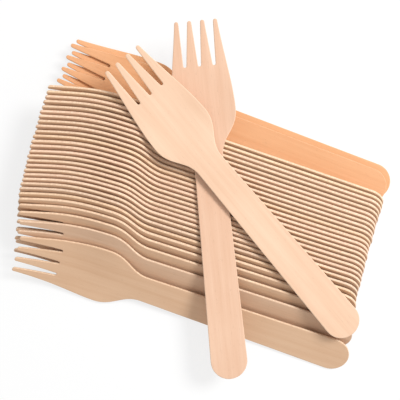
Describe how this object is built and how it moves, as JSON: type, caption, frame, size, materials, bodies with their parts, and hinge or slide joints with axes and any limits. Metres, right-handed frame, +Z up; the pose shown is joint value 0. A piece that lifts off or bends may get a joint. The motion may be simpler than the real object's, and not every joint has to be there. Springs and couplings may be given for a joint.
{
  "type": "wooden cutlery pack",
  "caption": "Loose pack of birch disposable forks: a toppled row leaning on its long edges, flat forks behind it and crossed forks resting on top.",
  "frame": {"origin": "centre of the pack's box, on the surface it lies on", "axes": "+X along the row from the tines to the handle ends, +Y to the back, where the row leans, +Z up"},
  "size_m": [0.166, 0.152, 0.0332],
  "materials": {
    "row_birch": "raw sanded birch, matt",
    "flat_birch": "raw sanded birch, matt, warmer in tone",
    "crossed_birch": "raw sanded birch, matt"
  },
  "bodies": {
    "root": {"row_fork_01": "row_birch", "row_fork_02": "row_birch", "row_fork_03": "row_birch", "row_fork_04": "row_birch", "row_fork_05": "row_birch", "row_fork_06": "row_birch", "row_fork_07": "row_birch", "row_fork_08": "row_birch", "row_fork_09": "row_birch", "row_fork_10": "row_birch", "row_fork_11": "row_birch", "row_fork_12": "row_birch", "row_fork_13": "row_birch", "row_fork_14": "row_birch", "row_fork_15": "row_birch", "row_fork_16": "row_birch", "row_fork_17": "row_birch", "row_fork_18": "row_birch", "row_fork_19": "row_birch", "row_fork_20": "row_birch", "row_fork_21": "row_birch", "row_fork_22": "row_birch", "row_fork_23": "row_birch", "row_fork_24": "row_birch", "row_fork_25": "row_birch", "row_fork_26": "row_birch", "row_fork_27": "row_birch", "row_fork_28": "row_birch", "flat_fork_lower": "flat_birch", "flat_fork_upper": "flat_birch", "crossed_fork_under": "crossed_birch", "crossed_fork_over": "crossed_birch"}
  },
  "joints": []
}
